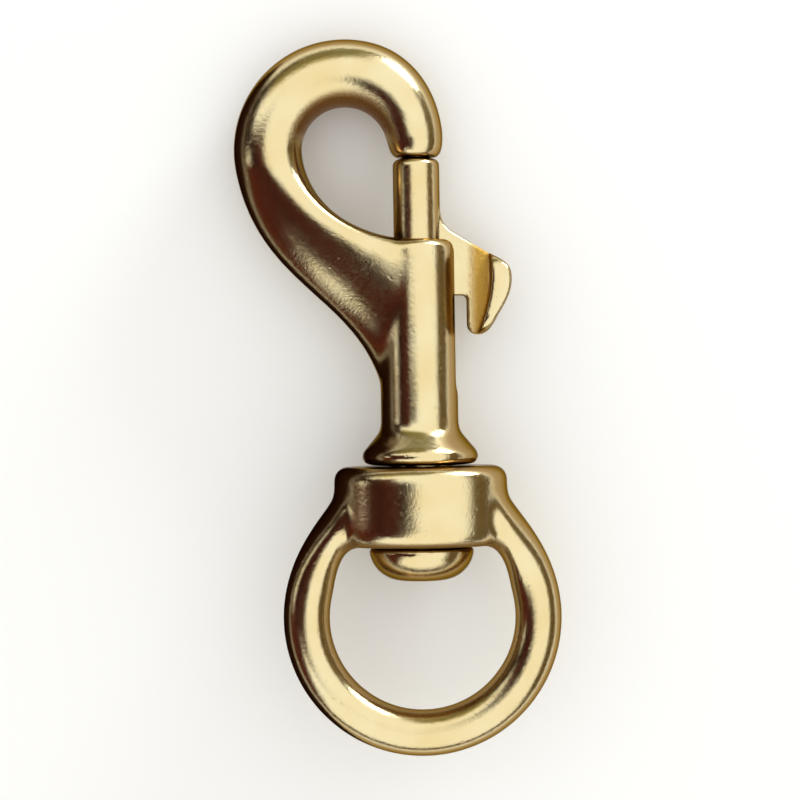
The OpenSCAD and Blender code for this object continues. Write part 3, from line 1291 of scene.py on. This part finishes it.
@dataclass
class Studio:
    """Pale floor, soft light and the camera, all in metres."""

    view_centre: Point = (-0.00262, 0.0293)
    view_width: float = 0.108
    distance: float = 0.33
    sensor_mm: float = 36.0
    clip: Span = (0.01, 20.0)
    roll_deg: float = -0.866
    floor_hex: str = "#FAFAF9"
    floor_size: float = 4.0
    steepest: float = 0.2
    slope_tries: int = 401
    paint_rough: float = 0.9
    paint_shine: float = 0.1
    folds_per_metre: float = 45.0
    fold_stretch: float = 0.12
    fold_span: Span = (0.4, 0.62)
    table_hex: str = "#34190D"
    table_lift: float = 0.0004
    table_edge: tuple[Point, ...] = (
        (-0.024, 0.085), (-0.0275, 0.066), (-0.0255, 0.052), (-0.012, 0.036), (-0.010, 0.024),
        (-0.0145, 0.016), (-0.0205, 0.002), (-0.016, -0.016), (-0.008, -0.024), (-0.3, -0.3), (-0.3, 0.3))
    wall_hex: str = "#4B3A28"
    wall_r: float = 0.66
    wall_h: float = 0.17
    wall_sides: int = 32
    room_hex: str = "#FFFEFB"
    window_size: Span = (0.22, 0.12)
    window_watts: float = 1.6
    window_tint: Place = (0.86, 0.94, 1.0)
    window_at: Place = (0.34, 0.46, 0.14)
    window_aim: Place = (0.0, 0.03, 0.0)

    def camera(self) -> None:
        """Sets the camera straight above the snap."""
        data = bpy.data.cameras.new("camera")
        data.sensor_width = self.sensor_mm
        data.lens = data.sensor_width * self.distance / self.view_width
        data.clip_start, data.clip_end = self.clip
        cam = bpy.data.objects.new("camera", data)
        bpy.context.scene.collection.objects.link(cam)
        cam.location = (*self.view_centre, self.distance)
        cam.rotation_euler = Euler((0, 0, math.radians(self.roll_deg)))
        bpy.context.scene.camera = cam

    def matt(self, name: str, code: str, fold: str = "") -> bpy.types.Material:
        """Plain matt paint for the stage.

        Args:
            name: Name of the paint.
            code: Its colour.
            fold: Colour of the painted shade in soft folds along Y, if it has any.

        Returns:
            The material.
        """
        mat = bpy.data.materials.new(name)
        mat.use_nodes = True
        shader = mat.node_tree.nodes["Principled BSDF"]
        shader.inputs["Base Color"].default_value = linear(code)
        shader.inputs["Roughness"].default_value = self.paint_rough
        shader.inputs["Specular IOR Level"].default_value = self.paint_shine
        # Painted shade of soft folds, as darker streaks along Y.
        if fold:
            tree = mat.node_tree
            place = add(tree, "ShaderNodeTexCoord").outputs["Object"]
            narrow = add(tree, "ShaderNodeMapping", {"Vector": place, "Scale": (1.0, self.fold_stretch, 1.0)})
            folds = add(tree, "ShaderNodeTexNoise", {
                "Vector": narrow.outputs["Vector"], "Scale": self.folds_per_metre, "Detail": 1.0})
            step = add(tree, "ShaderNodeMapRange", {
                "Value": folds.outputs["Fac"], "From Min": self.fold_span[0], "From Max": self.fold_span[1]})
            tone = add(tree, "ShaderNodeMix", {
                "Factor": step.outputs["Result"], "A": linear(code), "B": linear(fold)}, data_type="RGBA")
            tree.links.new(tone.outputs["Result"], shader.inputs["Base Color"])
        return mat

    def floor(self, pieces: list[bpy.types.Object]) -> None:
        """Lays the floor under the snap as it rests, on its boss and its bow, with a dark card on its left part.

        Args:
            pieces: Pieces that stand on the floor.
        """
        cloud = np.concatenate([Bench.points(p)[0] for p in pieces])
        middle = cloud.mean(axis=0)[1]
        tries = np.linspace(-self.steepest, self.steepest, self.slope_tries)
        slope = max(tries, key=lambda k: (cloud[:, 2] - k * (cloud[:, 1] - middle)).min())
        low = (cloud[:, 2] - slope * (cloud[:, 1] - middle)).min()
        bpy.ops.object.select_all(action="DESELECT")
        bpy.ops.mesh.primitive_plane_add(
            size=self.floor_size, location=(0, middle, low), rotation=(math.atan(slope), 0, 0))
        plane = bpy.context.object
        plane.name = "floor"
        plane.data.materials.append(self.matt("floor_paint", self.floor_hex))
        self.hang(Card("table_card", self.table_hex, tuple(
            (x, y, low + slope * (y - middle) + self.table_lift) for x, y in self.table_edge)))
        LOG.info("floor slope %.2f degrees", math.degrees(math.atan(slope)))

    def hang(self, card: Card) -> None:
        """Hangs a card for the metal to reflect. The camera doesn't see it and it doesn't shade the floor.

        Args:
            card: The card.
        """
        mesh = bpy.data.meshes.new(card.name)
        mesh.from_pydata(card.corners, [], [range(len(card.corners))])
        obj = bpy.data.objects.new(card.name, mesh)
        bpy.context.scene.collection.objects.link(obj)
        mesh.materials.append(self.matt(card.name + "_paint", card.code, card.fold))
        obj.visible_camera = obj.visible_diffuse = obj.visible_shadow = False

    def wall(self) -> None:
        """Sets the dim lower part of the room all round, which darkens the sides of the brass."""
        turns = [2 * math.pi * i / self.wall_sides for i in range(self.wall_sides + 1)]
        foot = [(self.wall_r * math.cos(a), self.wall_r * math.sin(a)) for a in turns]
        for i, (a, b) in enumerate(pairwise(foot)):
            self.hang(Card(f"wall_{i}", self.wall_hex, (
                (*a, 0.0), (*b, 0.0), (*b, self.wall_h), (*a, self.wall_h))))

    def light(self) -> None:
        """Sets a soft white room with a small window, and hangs the cards that the brass reflects."""
        world = bpy.data.worlds.new("room")
        bpy.context.scene.world = world
        world.use_nodes = True
        world.node_tree.nodes["Background"].inputs["Color"].default_value = linear(self.room_hex)
        world.node_tree.nodes["Background"].inputs["Strength"].default_value = 1.0
        for card in ROUND_THE_TABLE:
            self.hang(card)
        self.wall()
        lamp = bpy.data.lights.new("window", "AREA")
        lamp.shape, lamp.energy, lamp.color = "RECTANGLE", self.window_watts, self.window_tint
        lamp.size, lamp.size_y = self.window_size
        obj = bpy.data.objects.new("window", lamp)
        bpy.context.scene.collection.objects.link(obj)
        obj.location = self.window_at
        obj.rotation_euler = (Vector(self.window_aim) - obj.location).to_track_quat("-Z", "Y").to_euler()


def main() -> None:
    """Builds the snap piece by piece, then the studio round it."""
    logging.basicConfig(level=logging.INFO, format="%(name)s: %(message)s")
    ring = RingCasting()
    hook = HookCasting(ring)
    bolt = BoltCasting(hook)
    spring = BoltSpring(hook)
    polished = CastBrass("cast_brass_wheel_polished").build()
    rougher = CastBrass("cast_brass_tumbled", polish=0.17, hollow="#E2B557").build()
    steel = DrawnSteel().build()

    made = []
    for casting, material, body, slot, node in (
            (ring, polished, Body.RING, Slot.POLISHED, "swivel_ring"),
            (hook, polished, Body.HOOK, Slot.POLISHED, "hook_body"),
            (bolt, rougher, Body.BOLT, Slot.CAST, "latch_bolt")):
        obj = casting.build()
        casting.dress(obj)
        Bench.hand_over(obj, material, body, slot, node)
        made.append(obj)
    wire = spring.build()
    Bench.hand_over(wire, steel, Body.HOOK, Slot.WIRE, "bolt_spring")
    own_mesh(wire)

    studio = Studio()
    studio.camera()
    studio.floor(made)
    studio.light()
    bpy.context.scene.view_settings.view_transform = "Standard"


if __name__ == "__main__":
    main()
